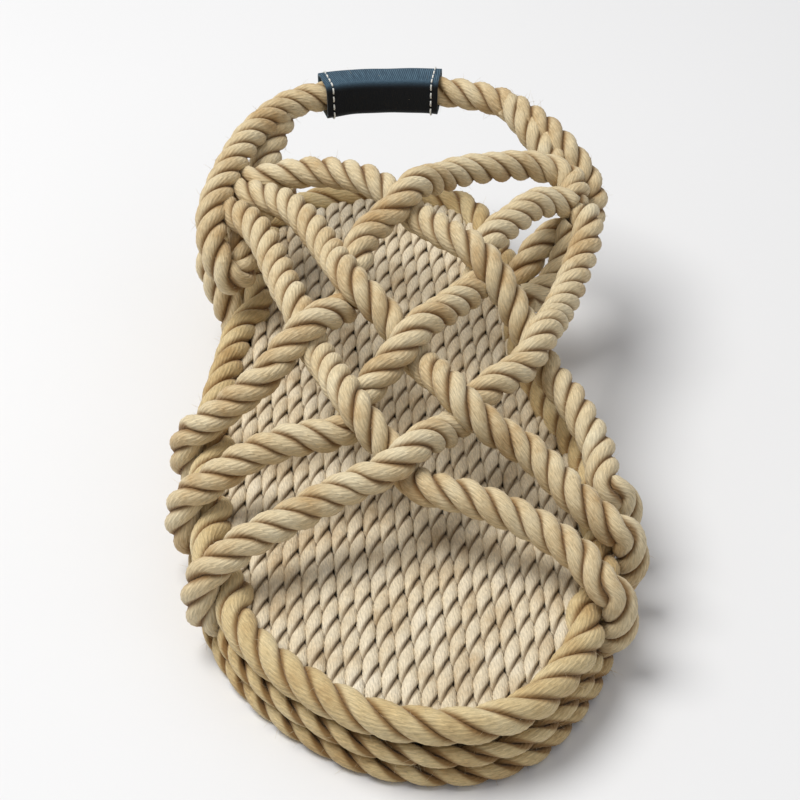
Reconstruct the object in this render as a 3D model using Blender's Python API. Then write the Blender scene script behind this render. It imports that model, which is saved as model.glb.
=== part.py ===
"""Rope sandal, right shoe, in metres: toe at -Y, heel at +Y, inner (medial) side at +X, floor at Z = 0.

A maker lays a mat of cord for the sole, sews three courses of rope round its rim, weaves six rope straps
over the instep as the upper, and ties them at both ankles to a rope that loops round the heel.
"""
import math
from collections import namedtuple

import bmesh
import bpy
from mathutils import Vector

# Driving sizes
SOLE_LENGTH = 0.277
BALL_WIDTH = 0.123
ROPE = 0.0104
LOWER_ROPE = 0.0064
MIDDLE_ROPE = 0.0062
CORD_PITCH = 0.0047
RIB_HEIGHT = 0.0013
FOOTBED_DROP = 0.0041
INSTEP_RISE = 0.034
WEAVE_LIFT = 0.0043
WEAVE_REACH = 0.021
STRAP_PROUD = 0.0008
SLEEVE_LENGTH = 0.0400
SLEEVE_WALL = 0.0008
SLEEVE_BEVEL = 0.0020
GAP = 0.0003

# Where a strap turns over the border rope: in from the edge as a share of the rope's radius, and up from
# that rope's middle as a share of the rope's thickness
TURN_INSET = 0.35
TURN_RISE = 0.74

# Fineness of the facets
ROPE_SIDES = 8
RIM_STEPS = 66
STRAP_STEP = 0.0074
RIB_FACETS = 4
CURVE_STEPS = 10

# Sizes that follow from the driving ones
HALF_BALL = BALL_WIDTH / 2
ROPE_RADIUS = ROPE / 2
LOWER_Z = LOWER_ROPE / 2
MIDDLE_Z = LOWER_ROPE + GAP + MIDDLE_ROPE / 2
MIDDLE_TOP = MIDDLE_Z + MIDDLE_ROPE / 2
TOP_Z = MIDDLE_TOP + GAP + ROPE_RADIUS
RIM_TOP = TOP_Z + ROPE_RADIUS
DECK = RIM_TOP + GAP + ROPE_RADIUS
STRAP_FOOT = LOWER_ROPE + 4 * GAP
OUTSOLE_TOP = MIDDLE_TOP - GAP
FOOTBED_TOP = RIM_TOP - FOOTBED_DROP

MEDIAL = 1
LATERAL = -1

# Outline of the last: share of the length from the heel, then half widths as shares of half the ball
LastRow = namedtuple("LastRow", "along medial lateral")
LAST = (
    LastRow(0.004, 0.23, 0.17),
    LastRow(0.022, 0.44, 0.41),
    LastRow(0.061, 0.63, 0.62),
    LastRow(0.144, 0.735, 0.745),
    LastRow(0.250, 0.772, 0.810),
    LastRow(0.380, 0.756, 0.930),
    LastRow(0.470, 0.790, 1.010),
    LastRow(0.560, 0.894, 1.065),
    LastRow(0.660, 0.951, 1.080),
    LastRow(0.760, 0.927, 1.030),
    LastRow(0.841, 0.821, 0.911),
    LastRow(0.910, 0.655, 0.710),
    LastRow(0.968, 0.440, 0.425),
    LastRow(0.992, 0.250, 0.190),
)
HEEL_TIP_ACROSS = 0.03
TOE_TIP_ACROSS = 0.06

# Surface of the instep that the weave lies on; heights are shares of INSTEP_RISE over the deck
InstepRow = namedtuple("InstepRow", "along crest side centre half")
INSTEP = (
    InstepRow(0.144, 0.87, 0.61, 0.13, 0.98),
    InstepRow(0.289, 1.00, 0.50, 0.115, 0.98),
    InstepRow(0.397, 0.94, 0.12, 0.065, 0.98),
    InstepRow(0.542, 0.70, 0.00, -0.05, 1.00),
    InstepRow(0.693, 0.38, 0.00, -0.065, 1.00),
    InstepRow(0.830, 0.20, 0.00, -0.05, 0.98),
)

# Plan route of each strap from its ankle to the rim as (across, along) shares. rim_along is where it
# turns over the edge of the sole, on the side it ends at.
Strap = namedtuple("Strap", "rim_side rim_along route")
LATERAL_STRAPS = (
    Strap(MEDIAL, 0.690, (
        (-0.72, 0.178), (-0.58, 0.189), (-0.41, 0.195), (-0.21, 0.219), (0.05, 0.278),
        (0.24, 0.361), (0.49, 0.436), (0.64, 0.489), (0.80, 0.579), (0.865, 0.635))),
    Strap(MEDIAL, 0.758, (
        (-0.82, 0.186), (-0.69, 0.211), (-0.55, 0.246), (-0.43, 0.299), (-0.32, 0.371),
        (-0.23, 0.452), (-0.01, 0.513), (0.22, 0.627), (0.52, 0.669), (0.72, 0.731))),
    Strap(MEDIAL, 0.846, (
        (-0.80, 0.228), (-0.69, 0.275), (-0.61, 0.330), (-0.55, 0.394), (-0.46, 0.475),
        (-0.28, 0.625), (-0.08, 0.679), (0.04, 0.719), (0.46, 0.770), (0.66, 0.812))),
)
MEDIAL_STRAPS = (
    Strap(LATERAL, 0.545, (
        (1.00, 0.250), (1.03, 0.207), (0.94, 0.189), (0.79, 0.190), (0.58, 0.211),
        (0.35, 0.241), (0.04, 0.328), (-0.14, 0.367), (-0.29, 0.468), (-0.69, 0.540))),
    Strap(LATERAL, 0.655, (
        (0.98, 0.256), (0.88, 0.264), (0.76, 0.286), (0.62, 0.326), (0.49, 0.364),
        (0.35, 0.445), (-0.01, 0.551), (-0.21, 0.590), (-0.34, 0.629), (-0.79, 0.645))),
    Strap(LATERAL, 0.780, (
        (1.05, 0.262), (1.05, 0.296), (0.99, 0.334), (0.82, 0.426), (0.60, 0.535),
        (0.29, 0.602), (-0.07, 0.698), (-0.32, 0.716), (-0.60, 0.744), (-0.82, 0.765))),
)

# Free ropes at the ankles and heel: rise is a share of INSTEP_RISE over the deck
Knot = namedtuple("Knot", "across along rise")
HEEL_STRAP = (
    Knot(-0.44, 0.168, 0.40), Knot(-0.58, 0.184, 0.40), Knot(-0.68, 0.203, 0.43), Knot(-0.73, 0.228, 0.43),
    Knot(-0.735, 0.258, 0.32), Knot(-0.75, 0.287, 0.20), Knot(-0.82, 0.303, 0.22), Knot(-0.88, 0.287, 0.40),
    Knot(-0.90, 0.259, 0.56), Knot(-0.87, 0.225, 0.70), Knot(-0.78, 0.171, 0.81), Knot(-0.65, 0.109, 0.88),
    Knot(-0.44, 0.053, 0.92), Knot(-0.18, 0.034, 0.94), Knot(0.07, 0.031, 0.94), Knot(0.40, 0.040, 0.94),
    Knot(0.70, 0.066, 0.92), Knot(0.89, 0.116, 0.88), Knot(1.02, 0.155, 0.75), Knot(1.12, 0.183, 0.54),
    Knot(1.14, 0.210, 0.41), Knot(1.10, 0.233, 0.34), Knot(1.02, 0.247, 0.31), Knot(0.92, 0.256, 0.31),
    Knot(0.82, 0.272, 0.26), Knot(0.73, 0.290, 0.11), Knot(0.67, 0.302, -0.10),
)
LATERAL_TAIL = (
    Knot(-0.44, 0.041, 0.87), Knot(-0.51, 0.073, 0.78), Knot(-0.56, 0.102, 0.69), Knot(-0.60, 0.130, 0.60),
    Knot(-0.62, 0.156, 0.50),
)
MEDIAL_TAIL = (
    Knot(0.76, 0.078, 0.92), Knot(0.83, 0.112, 0.86), Knot(0.90, 0.147, 0.76), Knot(0.96, 0.178, 0.64),
)
LATERAL_STAY = (
    Knot(-0.71, 0.218, 0.50), Knot(-0.80, 0.192, 0.35), Knot(-0.87, 0.205, 0.17), Knot(-0.91, 0.232, 0.00),
)
LATERAL_STAY_RIM_ALONG = 0.262
MEDIAL_STAY = (
    Knot(0.99, 0.270, 0.46), Knot(0.95, 0.292, 0.28), Knot(0.88, 0.312, 0.10), Knot(0.79, 0.327, 0.02),
    Knot(0.70, 0.338, 0.01),
)
SLEEVE_ACROSS = 0.07


def place(across, along, z=0.0):
    """Point from a share of half the ball width, a share of the length from the heel, and a height."""
    return Vector((across * HALF_BALL, SOLE_LENGTH * (0.5 - along), z))


def knot_point(knot):
    """Point of a free rope, whose height is counted from the deck."""
    return place(knot.across, knot.along, DECK + knot.rise * INSTEP_RISE)


def smooth_curve(points, closed=False):
    """Fine polyline of the Catmull-Rom curve through the points."""
    if closed:
        ring = [points[-1], *points, points[0], points[1]]
    else:
        ring = [2 * points[0] - points[1], *points, 2 * points[-1] - points[-2]]
    curve = []
    for before, start, end, after in zip(ring, ring[1:], ring[2:], ring[3:]):
        for step in range(CURVE_STEPS):
            t = step / CURVE_STEPS
            curve.append(0.5 * (2 * start + (end - before) * t
                                + (2 * before - 5 * start + 4 * end - after) * t ** 2
                                + (3 * start - before - 3 * end + after) * t ** 3))
    if not closed:
        curve.append(points[-1].copy())
    return curve


def lengths_along(curve):
    """Distance of each point of a polyline from its start."""
    lengths = [0.0]
    for start, end in zip(curve, curve[1:]):
        lengths.append(lengths[-1] + (end - start).length)
    return lengths


def point_at(curve, lengths, distance):
    """Point of a polyline at a distance from its start."""
    for index in range(1, len(curve)):
        if lengths[index] >= distance:
            break
    span = lengths[index] - lengths[index - 1]
    share = (distance - lengths[index - 1]) / span
    return curve[index - 1].lerp(curve[index], min(max(share, 0.0), 1.0))


def even_points(curve, count):
    """The polyline again, in a number of equal steps."""
    lengths = lengths_along(curve)
    return [point_at(curve, lengths, lengths[-1] * step / count) for step in range(count + 1)]


def stepped(curve, step=STRAP_STEP):
    """The polyline in equal steps of about the given length."""
    return even_points(curve, max(2, round(lengths_along(curve)[-1] / step)))


def last_outline():
    """Closed outline of the sole's outer edge: heel tip, medial side, toe tip, lateral side."""
    medial = [place(row.medial, row.along) for row in LAST]
    lateral = [place(-row.lateral, row.along) for row in reversed(LAST)]
    heel_tip = place(HEEL_TIP_ACROSS, 0.0)
    toe_tip = place(TOE_TIP_ACROSS, 1.0)
    return smooth_curve([heel_tip, *medial, toe_tip, *lateral], closed=True)


def rim_loop(inset, z, steps=RIM_STEPS):
    """The outline set in from the edge, as a closed loop of evenly spaced points at a height."""
    outline = last_outline()
    ring = even_points([*outline, outline[0]], steps)[:-1]
    loop = []
    for index, point in enumerate(ring):
        tangent = (ring[(index + 1) % steps] - ring[index - 1]).normalized()
        outward = Vector((-tangent.y, tangent.x, 0.0))
        loop.append(point - outward * inset + Vector((0.0, 0.0, z)))
    return loop


def rim_station(side, along):
    """Point on the outer edge at a share of the length, with its outward direction."""
    outline = last_outline()
    half = len(outline) // 2
    edge = outline[:half + 1] if side == MEDIAL else [*outline[half:], outline[0]]
    target = place(0.0, along).y
    for start, end in zip(edge, edge[1:]):
        if (start.y - target) * (end.y - target) <= 0.0:
            break
    share = (target - start.y) / (end.y - start.y)
    tangent = (end - start).normalized()
    return start.lerp(end, share), Vector((-tangent.y, tangent.x, 0.0))


def rim_wrap(side, along, over):
    """Points that take a rope over the rim, if it comes from inside, and down the edge of the sole."""
    edge, outward = rim_station(side, along)
    beside = edge + outward * STRAP_PROUD
    points = []
    if over:
        points.append(edge - outward * ROPE_RADIUS + Vector((0.0, 0.0, DECK)))
        points.append(beside - outward * ROPE_RADIUS * TURN_INSET
                      + Vector((0.0, 0.0, TOP_Z + ROPE * TURN_RISE)))
    points.append(beside + Vector((0.0, 0.0, TOP_Z)))
    points.append(beside + Vector((0.0, 0.0, STRAP_FOOT)))
    return points


def instep_height(point):
    """Height of the instep's surface over a point of the plan."""
    along = 0.5 - point.y / SOLE_LENGTH
    along = min(max(along, INSTEP[0].along), INSTEP[-1].along)
    for low, high in zip(INSTEP, INSTEP[1:]):
        if along <= high.along:
            break
    share = (along - low.along) / (high.along - low.along)
    crest, side, centre, half = (a + (b - a) * share for a, b in zip(low[1:], high[1:]))
    lean = min(abs(point.x / HALF_BALL - centre) / half, 1.0)
    return DECK + INSTEP_RISE * (side + (crest - side) * (1.0 - lean ** 2))


def crossing(first, second):
    """Distances along two plan curves to the place where they come closest."""
    pairs = ((a, b) for a in range(len(first)) for b in range(len(second)))
    a, b = min(pairs, key=lambda pair: (first[pair[0]] - second[pair[1]]).length_squared)
    return lengths_along(first)[a], lengths_along(second)[b]


def weave_lift(distance, crossings):
    """Rise or dip of a strap: half a wave at each crossing, up where it passes over."""
    lift = 0.0
    for place_on_strap, sign in crossings:
        share = min(abs(distance - place_on_strap) / WEAVE_REACH, 1.0)
        lift += sign * WEAVE_LIFT * math.cos(math.pi / 2 * share) ** 2
    return lift


def weave_paths():
    """Centre lines of the six straps in a plain weave, over the instep and down the rim."""
    straps = [*LATERAL_STRAPS, *MEDIAL_STRAPS]
    plans = [smooth_curve([place(*row) for row in strap.route]) for strap in straps]
    crossings = [[] for _ in straps]
    for i in range(len(LATERAL_STRAPS)):
        for j in range(len(LATERAL_STRAPS), len(straps)):
            sign = 1 if (i + j) % 2 == 0 else -1
            on_first, on_second = crossing(plans[i], plans[j])
            crossings[i].append((on_first, sign))
            crossings[j].append((on_second, -sign))
    paths = []
    for strap, plan, meets in zip(straps, plans, crossings):
        lengths = lengths_along(plan)
        lifted = []
        for point, distance in zip(plan, lengths):
            height = max(instep_height(point) + weave_lift(distance, meets), DECK)
            lifted.append(Vector((point.x, point.y, height)))
        knots = [*stepped(lifted), *rim_wrap(strap.rim_side, strap.rim_along, over=True)]
        paths.append(stepped(smooth_curve(knots)))
    return paths


def ring_normals(path, closed):
    """A normal for each point of a path: level on a closed loop, carried along without twist if open."""
    tangents = []
    for index in range(len(path)):
        before = path[index - 1] if closed or index else path[0]
        after = path[(index + 1) % len(path)] if closed or index < len(path) - 1 else path[-1]
        tangents.append((after - before).normalized())
    if closed:
        return tangents, [Vector((tangent.y, -tangent.x, 0.0)).normalized() for tangent in tangents]
    normals = [tangents[0].orthogonal().normalized()]
    for before, tangent in zip(tangents, tangents[1:]):
        turned = before.rotation_difference(tangent) @ normals[-1]
        normals.append((turned - tangent * turned.dot(tangent)).normalized())
    return tangents, normals


def add_object(name, mesh_maker, material=None):
    """New object from a bmesh, with its faces turned outwards and its material."""
    bmesh.ops.recalc_face_normals(mesh_maker, faces=mesh_maker.faces)
    mesh = bpy.data.meshes.new(name)
    mesh_maker.to_mesh(mesh)
    mesh_maker.free()
    part = bpy.data.objects.new(name, mesh)
    bpy.context.scene.collection.objects.link(part)
    if material:
        mesh.materials.append(material)
    return part


def rope(name, path, radius, material=None, closed=False):
    """Rope as a round tube along a path. A closed loop has flat faces above and below."""
    tangents, normals = ring_normals(path, closed)
    reach = radius / math.cos(math.pi / ROPE_SIDES) if closed else radius
    turn = math.pi / ROPE_SIDES if closed else 0.0
    tube = bmesh.new()
    rings = []
    for point, tangent, normal in zip(path, tangents, normals):
        side = tangent.cross(normal)
        ring = []
        for corner in range(ROPE_SIDES):
            angle = turn + 2 * math.pi * corner / ROPE_SIDES
            ring.append(tube.verts.new(point + reach * (normal * math.cos(angle) + side * math.sin(angle))))
        rings.append(ring)
    following = [*rings[1:], rings[0]] if closed else rings[1:]
    for ring, after in zip(rings, following):
        for corner in range(ROPE_SIDES):
            beyond = (corner + 1) % ROPE_SIDES
            tube.faces.new((ring[corner], ring[beyond], after[beyond], after[corner]))
    if not closed:
        tube.faces.new(rings[0])
        tube.faces.new(rings[-1])
    part = add_object(name, tube, material)
    part.data.shade_smooth()
    return part


def combine(part, others, operation):
    """Join or cut a part with other objects, which are used up."""
    for other in others:
        boolean = part.modifiers.new(other.name, "BOOLEAN")
        boolean.operation = operation
        boolean.solver = "EXACT"
        boolean.object = other
        other.hide_render = True
        other.display_type = "WIRE"
    graph = bpy.context.evaluated_depsgraph_get()
    result = bpy.data.meshes.new_from_object(part.evaluated_get(graph))
    part.modifiers.clear()
    part.data = result
    for other in others:
        bpy.data.objects.remove(other)


def prism(name, loop, bottom, top, material=None):
    """Solid with a closed outline, from one height to another."""
    body = bmesh.new()
    face = body.faces.new([body.verts.new((point.x, point.y, bottom)) for point in loop])
    extruded = bmesh.ops.extrude_face_region(body, geom=[face])
    upper = [item for item in extruded["geom"] if isinstance(item, bmesh.types.BMVert)]
    bmesh.ops.translate(body, verts=upper, vec=(0.0, 0.0, top - bottom))
    return add_object(name, body, material)


def ribbed_block(name, material):
    """Block wider than the sole whose top is a row of rounded cords that run from heel to toe."""
    widest = max(row.medial + row.lateral for row in LAST) * HALF_BALL
    columns = (math.ceil(widest / CORD_PITCH / 2) + 1) * 2
    profile = []
    for facet in range(columns * RIB_FACETS + 1):
        x = (facet / RIB_FACETS - columns / 2) * CORD_PITCH
        rise = abs(math.sin(math.pi * facet / RIB_FACETS))
        profile.append((x, FOOTBED_TOP - RIB_HEIGHT * (1.0 - rise)))
    profile.append((profile[-1][0], MIDDLE_TOP))
    profile.append((profile[0][0], MIDDLE_TOP))
    block = bmesh.new()
    face = block.faces.new([block.verts.new((x, -SOLE_LENGTH / 2, z)) for x, z in profile])
    extruded = bmesh.ops.extrude_face_region(block, geom=[face])
    far = [item for item in extruded["geom"] if isinstance(item, bmesh.types.BMVert)]
    bmesh.ops.translate(block, verts=far, vec=(0.0, SOLE_LENGTH, 0.0))
    return add_object(name, block, material)


def make_material(name, colour, roughness):
    """Principled material with the photographed colour."""
    material = bpy.data.materials.new(name)
    material.use_nodes = True
    shader = material.node_tree.nodes["Principled BSDF"]
    shader.inputs["Base Color"].default_value = (*colour, 1.0)
    shader.inputs["Roughness"].default_value = roughness
    shader.inputs["Metallic"].default_value = 0.0
    return material


def make_sole(material, footbed_material, strap_paths):
    """Outsole mat, footbed mat and the three rim courses, notched where the straps pass down the edge."""
    prism("outsole_mat", rim_loop(LOWER_ROPE + GAP, 0.0), 0.0, OUTSOLE_TOP, material)
    footbed = ribbed_block("footbed_mat", footbed_material)
    inside = prism("footbed_outline", rim_loop(ROPE + GAP, 0.0), 0.0, RIM_TOP)
    combine(footbed, [inside], "INTERSECT")
    rope("lower_rim_rope", rim_loop(LOWER_ROPE / 2, LOWER_Z), LOWER_ROPE / 2, material, closed=True)
    middle = rope("middle_rim_rope", rim_loop(MIDDLE_ROPE / 2, MIDDLE_Z), MIDDLE_ROPE / 2, material,
                  closed=True)
    top = rope("top_rim_rope", rim_loop(ROPE_RADIUS, TOP_Z), ROPE_RADIUS, material, closed=True)
    for course in (middle, top):
        cutters = []
        for number, path in enumerate(strap_paths):
            cutters.append(rope(f"notch_{number}", path, ROPE_RADIUS + 2 * GAP))
        combine(course, cutters, "DIFFERENCE")


def make_sleeve(strap_path, material):
    """Woven label sleeve: a soft-cornered box section with the heel strap running through it."""
    lengths = lengths_along(strap_path)
    middle = min(range(len(strap_path)), key=lambda i: (
        abs(strap_path[i].x - SLEEVE_ACROSS * HALF_BALL) if strap_path[i].z > DECK else 1.0))
    start = lengths[middle] - SLEEVE_LENGTH / 2
    end = lengths[middle] + SLEEVE_LENGTH / 2
    path = [point_at(strap_path, lengths, start)]
    path += [point for point, distance in zip(strap_path, lengths) if start < distance < end]
    path.append(point_at(strap_path, lengths, end))
    bore = (ROPE_RADIUS + GAP) / math.cos(math.pi / ROPE_SIDES)
    half = ROPE_RADIUS + GAP + SLEEVE_WALL
    flat = half - SLEEVE_BEVEL
    corners = ((half, -flat), (half, flat), (flat, half), (-flat, half),
               (-half, flat), (-half, -flat), (-flat, -half), (flat, -half))
    sleeve = bmesh.new()
    outer_rings = []
    inner_rings = []
    for index, point in enumerate(path):
        tangent = (path[min(index + 1, len(path) - 1)] - path[max(index - 1, 0)]).normalized()
        sideways = tangent.cross(Vector((0.0, 0.0, 1.0))).normalized()
        upwards = sideways.cross(tangent)
        outer_rings.append([sleeve.verts.new(point + sideways * a + upwards * b) for a, b in corners])
        inner = []
        for corner in range(ROPE_SIDES):
            angle = 2 * math.pi * (corner - 0.5) / ROPE_SIDES
            inner.append(sleeve.verts.new(
                point + bore * (sideways * math.cos(angle) + upwards * math.sin(angle))))
        inner_rings.append(inner)
    for rings in (outer_rings, inner_rings):
        for ring, after in zip(rings, rings[1:]):
            for corner in range(ROPE_SIDES):
                beyond = (corner + 1) % ROPE_SIDES
                sleeve.faces.new((ring[corner], ring[beyond], after[beyond], after[corner]))
    for end_index in (0, -1):
        for corner in range(ROPE_SIDES):
            beyond = (corner + 1) % ROPE_SIDES
            outer, inner = outer_rings[end_index], inner_rings[end_index]
            sleeve.faces.new((outer[corner], outer[beyond], inner[beyond], inner[corner]))
    return add_object("label_sleeve", sleeve, material)


def centre_on_origin():
    """Move everything so that the middle of the whole box's base is the origin."""
    corners = [part.matrix_world @ Vector(corner) for part in bpy.data.objects for corner in part.bound_box]
    low = Vector([min(corner[axis] for corner in corners) for axis in range(3)])
    high = Vector([max(corner[axis] for corner in corners) for axis in range(3)])
    for part in bpy.data.objects:
        part.location -= Vector(((low.x + high.x) / 2, (low.y + high.y) / 2, low.z))


def main():
    """Build the sandal piece by piece."""
    for old in list(bpy.data.objects):
        bpy.data.objects.remove(old)
    rope_material = make_material("laid_rope", (0.62, 0.47, 0.29), 0.85)
    footbed_material = make_material("footbed_cord", (0.56, 0.44, 0.29), 0.88)
    label_material = make_material("woven_label", (0.02, 0.03, 0.05), 0.7)

    straps = weave_paths()
    stay_knots = [knot_point(knot) for knot in LATERAL_STAY]
    stay_knots += rim_wrap(LATERAL, LATERAL_STAY_RIM_ALONG, over=False)
    lateral_stay = stepped(smooth_curve(stay_knots))
    medial_stay = stepped(smooth_curve([knot_point(knot) for knot in MEDIAL_STAY]))
    heel = stepped(smooth_curve([knot_point(knot) for knot in HEEL_STRAP]))

    make_sole(rope_material, footbed_material, [*straps, lateral_stay, heel])

    heel_strap = rope("heel_strap", heel, ROPE_RADIUS, rope_material)
    tails = [rope(f"tail_{number}", stepped(smooth_curve([knot_point(knot) for knot in knots])), ROPE_RADIUS)
             for number, knots in enumerate((LATERAL_TAIL, MEDIAL_TAIL))]
    combine(heel_strap, tails, "UNION")

    upper = rope("upper_straps", straps[0], ROPE_RADIUS, rope_material)
    others = [rope(f"strap_{number}", path, ROPE_RADIUS)
              for number, path in enumerate([*straps[1:], lateral_stay, medial_stay])]
    combine(upper, others, "UNION")
    room = [rope("heel_strap_room", heel, ROPE_RADIUS + 2 * GAP)]
    room += [rope(f"tail_room_{number}", stepped(smooth_curve([knot_point(knot) for knot in knots])),
                  ROPE_RADIUS + 2 * GAP) for number, knots in enumerate((LATERAL_TAIL, MEDIAL_TAIL))]
    combine(upper, room, "DIFFERENCE")

    make_sleeve(heel, label_material)
    bpy.context.view_layer.update()
    centre_on_origin()


main()
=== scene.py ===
"""Rope sandal, right shoe, dressed: laid ropes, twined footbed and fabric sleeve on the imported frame.

Everything is in metres in the frame of the model: toe at -Y, heel at +Y, inner side at +X, floor at Z = 0.
"""
from __future__ import annotations

import logging
import math
from collections import namedtuple
from dataclasses import dataclass, field
from enum import Enum

import bpy
import numpy as np
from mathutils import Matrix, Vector

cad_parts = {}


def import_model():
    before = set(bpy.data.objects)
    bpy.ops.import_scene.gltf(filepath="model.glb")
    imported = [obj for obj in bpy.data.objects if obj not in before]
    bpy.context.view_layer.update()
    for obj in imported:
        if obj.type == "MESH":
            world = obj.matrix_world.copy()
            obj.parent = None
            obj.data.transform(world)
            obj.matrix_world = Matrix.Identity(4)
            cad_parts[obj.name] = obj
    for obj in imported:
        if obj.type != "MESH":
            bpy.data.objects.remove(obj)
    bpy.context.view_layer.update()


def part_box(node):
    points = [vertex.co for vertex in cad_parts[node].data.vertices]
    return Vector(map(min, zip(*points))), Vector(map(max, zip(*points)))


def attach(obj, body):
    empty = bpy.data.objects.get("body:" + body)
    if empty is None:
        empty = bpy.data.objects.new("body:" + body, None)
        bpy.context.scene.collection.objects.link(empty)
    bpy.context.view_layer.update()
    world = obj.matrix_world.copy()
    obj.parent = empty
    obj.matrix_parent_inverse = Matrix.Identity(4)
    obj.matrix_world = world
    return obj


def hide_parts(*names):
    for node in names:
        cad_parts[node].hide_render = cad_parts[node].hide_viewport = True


LOG = logging.getLogger("rope_sandal")
MILLIMETRE = 0.001

LastRow = namedtuple("LastRow", "along medial lateral")
InstepRow = namedtuple("InstepRow", "along crest side centre half")
Strap = namedtuple("Strap", "rim_side rim_along route")
Knot = namedtuple("Knot", "across along rise")


class Side(Enum):
    """Side of the foot, as the sign of its X."""

    MEDIAL = 1
    LATERAL = -1


class Lay(Enum):
    """Way a rope is twisted: strands like the middle of a Z, or of an S."""

    Z = 1
    S = -1


def linear(hex_colour: str) -> tuple[float, float, float, float]:
    """Turn an sRGB hex colour into linear RGBA.

    Args:
        hex_colour: colour such as "#CDB68F".

    Returns:
        Linear red, green, blue and an alpha of 1.
    """
    shares = [int(hex_colour[start:start + 2], 16) / 255 for start in (1, 3, 5)]
    channels = [share / 12.92 if share <= 0.04045 else ((share + 0.055) / 1.055) ** 2.4 for share in shares]
    return (*channels, 1.0)


def add_node(tree: bpy.types.NodeTree, kind: str, inputs: dict | None = None, **settings) -> bpy.types.Node:
    """Add a node with its settings, values and links.

    Args:
        tree: node tree that gets the node.
        kind: type name of the node.
        inputs: socket name or index to a value, or to the output socket that feeds it.
        settings: the node's own properties.

    Returns:
        The new node.
    """
    node = tree.nodes.new(kind)
    for name, value in settings.items():
        setattr(node, name, value)
    for key, value in (inputs or {}).items():
        if isinstance(value, bpy.types.NodeSocket):
            tree.links.new(value, node.inputs[key])
        else:
            node.inputs[key].default_value = value
    return node


def set_ramp(node: bpy.types.Node, stops: tuple[tuple[float, str], ...]) -> None:
    """Give a colour ramp its stops.

    Args:
        node: the ramp.
        stops: position and sRGB hex colour of each stop, in order.
    """
    elements = node.color_ramp.elements
    while len(elements) < len(stops):
        elements.new(0.5)
    for element, (position, colour) in zip(elements, stops):
        element.position = position
        element.color = linear(colour)


def smooth(points: np.ndarray, closed: bool = False, steps: int = 10) -> np.ndarray:
    """Catmull-Rom curve through points.

    Args:
        points: one row for each point.
        closed: whether the last point leads back to the first.
        steps: points made for each span.

    Returns:
        The fine polyline, one row for each point.
    """
    points = np.asarray(points, float)
    if closed:
        ring = np.vstack([points[-1:], points, points[:2]])
    else:
        ring = np.vstack([2 * points[:1] - points[1:2], points, 2 * points[-1:] - points[-2:-1]])
    before, start, end, after = (ring[i:len(ring) - 3 + i, None] for i in range(4))
    t = (np.arange(steps) / steps)[None, :, None]
    spans = 0.5 * (2 * start + (end - before) * t + (2 * before - 5 * start + 4 * end - after) * t ** 2
                   + (3 * start - before - 3 * end + after) * t ** 3)
    curve = spans.reshape(-1, points.shape[1])
    return curve if closed else np.vstack([curve, points[-1:]])


def lengths_along(curve: np.ndarray) -> np.ndarray:
    """Distance of each point of a polyline from its start."""
    return np.concatenate([[0.0], np.cumsum(np.linalg.norm(np.diff(curve, axis=0), axis=1))])


def sample(curve: np.ndarray, distances: np.ndarray) -> np.ndarray:
    """Points of a polyline at distances from its start."""
    lengths = lengths_along(curve)
    return np.stack([np.interp(distances, lengths, curve[:, axis]) for axis in range(curve.shape[1])], axis=1)


def stepped(curve: np.ndarray, step: float, closed: bool = False) -> np.ndarray:
    """The polyline again in equal steps.

    Args:
        curve: one row for each point.
        step: about the length of a step.
        closed: whether the curve is a loop, whose last point isn't repeated.

    Returns:
        The evenly stepped polyline.
    """
    whole = np.vstack([curve, curve[:1]]) if closed else curve
    total = lengths_along(whole)[-1]
    count = max(2, round(total / step))
    points = sample(whole, np.linspace(0.0, total, count + 1))
    return points[:-1] if closed else points


def unit(vectors: np.ndarray) -> np.ndarray:
    """The vectors at length 1."""
    return vectors / np.maximum(np.linalg.norm(vectors, axis=-1, keepdims=True), 1e-12)


def tangents_of(path: np.ndarray, closed: bool) -> np.ndarray:
    """Direction of a path at each of its points.

    Args:
        path: one row for each point.
        closed: whether the path is a loop.

    Returns:
        Unit vectors, one row for each point.
    """
    if closed:
        return unit(np.roll(path, -1, axis=0) - np.roll(path, 1, axis=0))
    return unit(np.gradient(path, axis=0))


def carried_normals(path: np.ndarray, closed: bool) -> tuple[np.ndarray, np.ndarray]:
    """Normals along a path: level on a loop, carried along without twist on an open path.

    Args:
        path: one row for each point.
        closed: whether the path is a loop.

    Returns:
        Tangents and normals, one row for each point.
    """
    tangents = tangents_of(path, closed)
    if closed:
        return tangents, unit(np.stack([tangents[:, 1], -tangents[:, 0], np.zeros(len(path))], axis=1))
    normals = [np.array(Vector(tangents[0]).orthogonal().normalized())]
    for before, tangent in zip(tangents, tangents[1:]):
        turned = Vector(before).rotation_difference(Vector(tangent)) @ Vector(normals[-1])
        turned = np.array(turned)
        normals.append(unit(turned - tangent * turned.dot(tangent)))
    return tangents, np.array(normals)


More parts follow.
